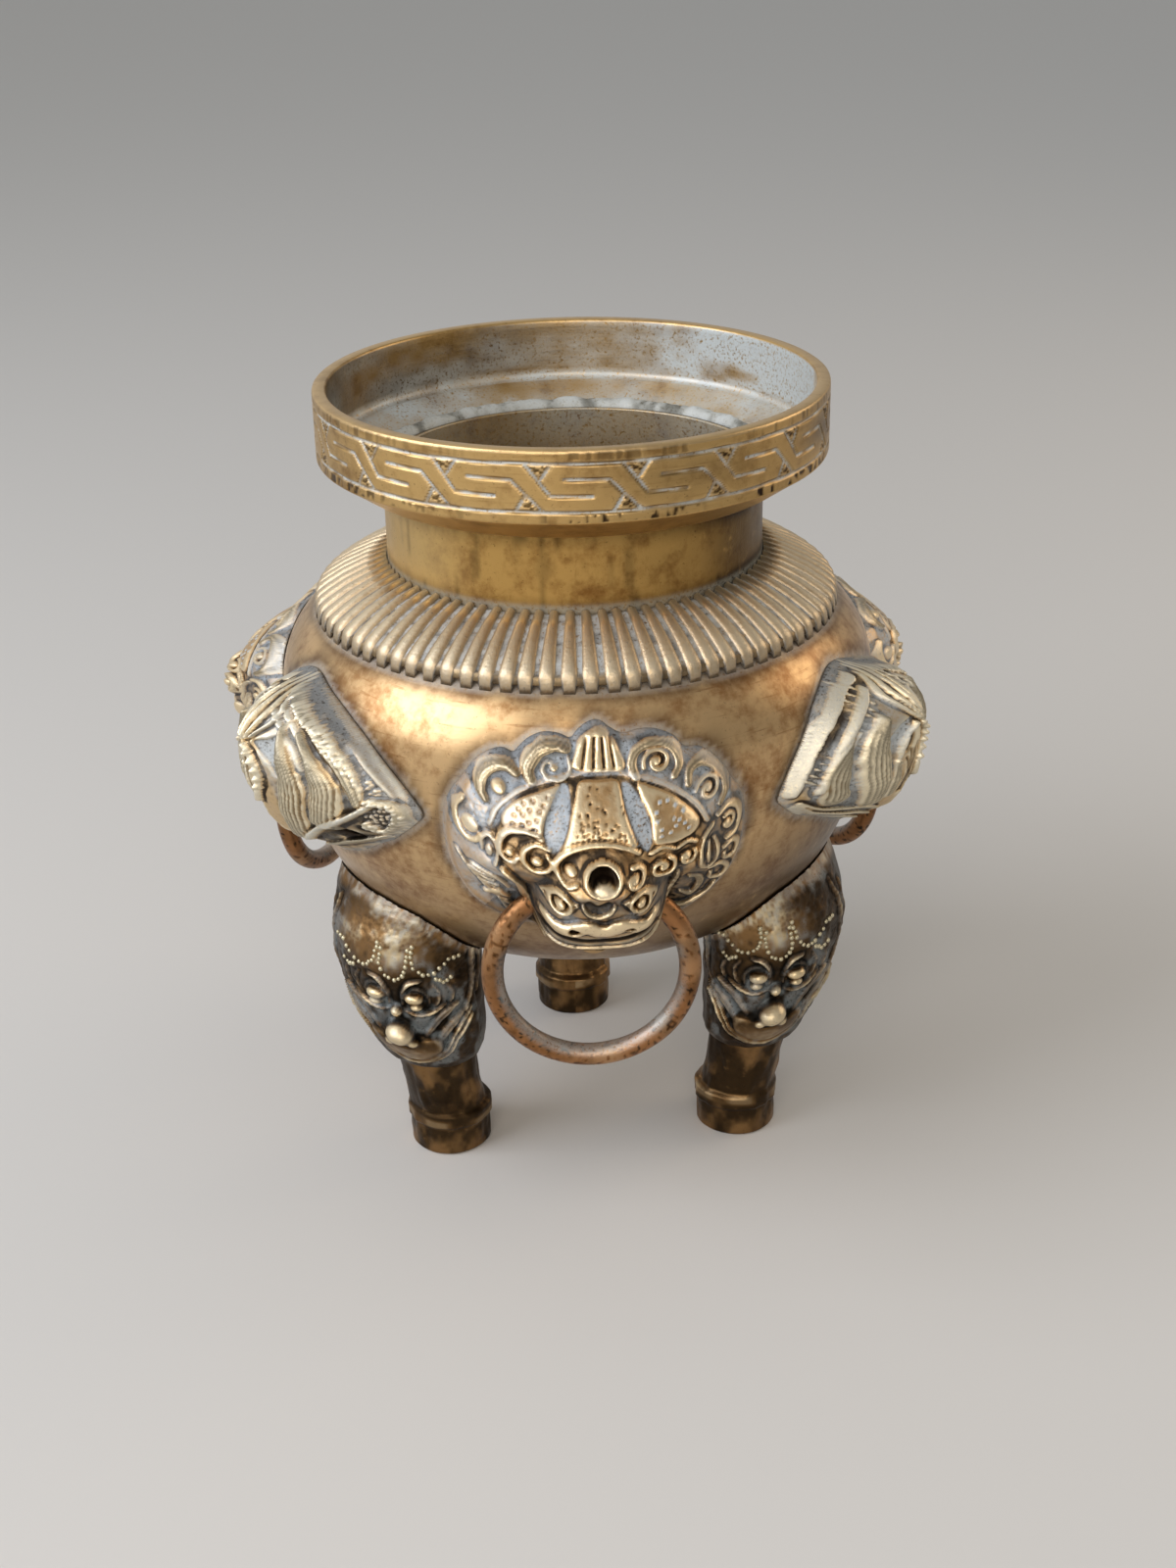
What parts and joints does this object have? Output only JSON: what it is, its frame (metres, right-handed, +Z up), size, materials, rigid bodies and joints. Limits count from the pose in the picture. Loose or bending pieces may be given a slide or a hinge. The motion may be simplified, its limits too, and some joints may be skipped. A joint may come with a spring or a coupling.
{
  "type": "tripod incense burner",
  "caption": "Round brass incense burner on beast-headed legs, with a reeded collar, a short neck, a flat gallery, and lion masks that hold loose swinging rings.",
  "frame": {"origin": "on the surface that the feet stand on, in the middle of the whole object's width and depth", "axes": "+Z up, the front lion mask faces -Y"},
  "size_m": [0.1506, 0.1588, 0.1608],
  "materials": {
    "polished_brass": "hand polished sheet or cast brass, softly glossy with brown toning",
    "worn_brass": "turned brass, worn satin with olive toning",
    "cast_brass": "cast and chased brass, bright on the high places and grey in the recesses",
    "dark_bronze": "dark bronze patina, rubbed to brass on the high places",
    "ring_bronze": "copper-brown bronze rod, worn smooth",
    "pale_solder": "dull grey soft solder"
  },
  "bodies": {
    "vessel": {"bowl": "polished_brass", "reeded_collar": "cast_brass", "neck_tube": "worn_brass", "gallery_rim": "worn_brass", "gallery_solder": "pale_solder", "lion_mask_front": "cast_brass", "lion_mask_back_left": "cast_brass", "lion_mask_back_right": "cast_brass", "beast_boss_left": "cast_brass", "beast_boss_right": "cast_brass", "beast_boss_back": "cast_brass", "leg_left": "dark_bronze", "leg_right": "dark_bronze", "leg_back": "dark_bronze"},
    "front_handle": {"ring_front": "ring_bronze"},
    "back_left_handle": {"ring_back_left": "ring_bronze"},
    "back_right_handle": {"ring_back_right": "ring_bronze"}
  },
  "joints": [
    {"name": "front_ring_swing", "type": "hinge", "parent": "vessel", "child": "front_handle", "pos_m": [0.00091, -0.05815, 0.08311], "axis": [-1, 0, 0], "range_deg": [-10, 40]},
    {"name": "back_left_ring_swing", "type": "hinge", "parent": "vessel", "child": "back_left_handle", "pos_m": [-0.05528, 0.03005, 0.08311], "axis": [0.4226, 0.9063, 0], "range_deg": [-10, 40]},
    {"name": "back_right_ring_swing", "type": "hinge", "parent": "vessel", "child": "back_right_handle", "pos_m": [0.05565, 0.03295, 0.08311], "axis": [0.4695, -0.8829, 0], "range_deg": [-10, 40]}
  ]
}
